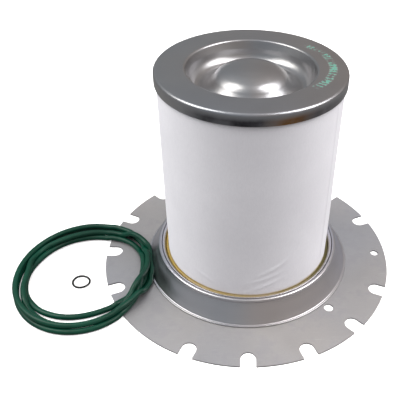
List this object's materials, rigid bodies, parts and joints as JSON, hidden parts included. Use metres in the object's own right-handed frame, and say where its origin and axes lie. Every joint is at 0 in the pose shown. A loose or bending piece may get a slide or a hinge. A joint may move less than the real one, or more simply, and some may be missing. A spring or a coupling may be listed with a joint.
{
  "type": "air and oil separator filter element",
  "caption": "Wrapped cylindrical filter element with a dished closed end cap, standing on a thin slotted mounting flange with a flared collar, with loose ring seals beside it.",
  "frame": {"origin": "centre of the mounting flange's underside, on the element's axis", "axes": "+Z along the element's axis from the flange to the closed end; +X through the small locating hole in the flange's rim; -Y is the front"},
  "size_m": [0.3862, 0.2994, 0.2184],
  "materials": {
    "flange_sheet": "dull zinc-plated sheet, slightly scuffed",
    "collar_sheet": "bright drawn sheet",
    "cap_sheet": "bright drawn sheet, faintly warm at one side",
    "plain_steel": "plain zinc-plated steel",
    "resin": "amber cast resin",
    "white_nonwoven": "calendered white nonwoven",
    "felt": "needled felt",
    "glass_fibre": "wound glass microfibre",
    "net": "open knitted net",
    "green_rubber": "dark green fluoro rubber, semi-gloss",
    "black_rubber": "black nitrile rubber, semi-gloss"
  },
  "bodies": {
    "element": {"mounting_flange": "flange_sheet", "flange_collar": "collar_sheet", "outlet_ferrule": "plain_steel", "lower_end_pan": "plain_steel", "lower_potting": "resin", "upper_end_cap": "cap_sheet", "upper_potting": "resin", "outer_sleeve": "white_nonwoven", "outer_core_tube": "plain_steel", "prefilter_wrap": "felt", "coalescer_wrap_outer": "glass_fibre", "coalescer_scrim_outer": "net", "coalescer_wrap_inner": "glass_fibre", "coalescer_scrim_inner": "net", "drainage_felt": "felt", "drainage_screen": "net", "inner_core_tube": "plain_steel"},
    "lower_seal": {"flange_seal_lower": "green_rubber"},
    "upper_seal": {"flange_seal_upper": "green_rubber"},
    "loose_small_seal": {"small_seal": "black_rubber"}
  },
  "joints": [
    {"name": "lower_seal_lift", "type": "slide", "parent": "element", "child": "lower_seal", "axis": [0, 0, 1], "range_m": [0, 0.12]},
    {"name": "upper_seal_lift", "type": "slide", "parent": "lower_seal", "child": "upper_seal", "axis": [0, 0, 1], "range_m": [0, 0.12]},
    {"name": "small_seal_lift", "type": "slide", "parent": "element", "child": "loose_small_seal", "axis": [0, 0, 1], "range_m": [0, 0.12]}
  ]
}
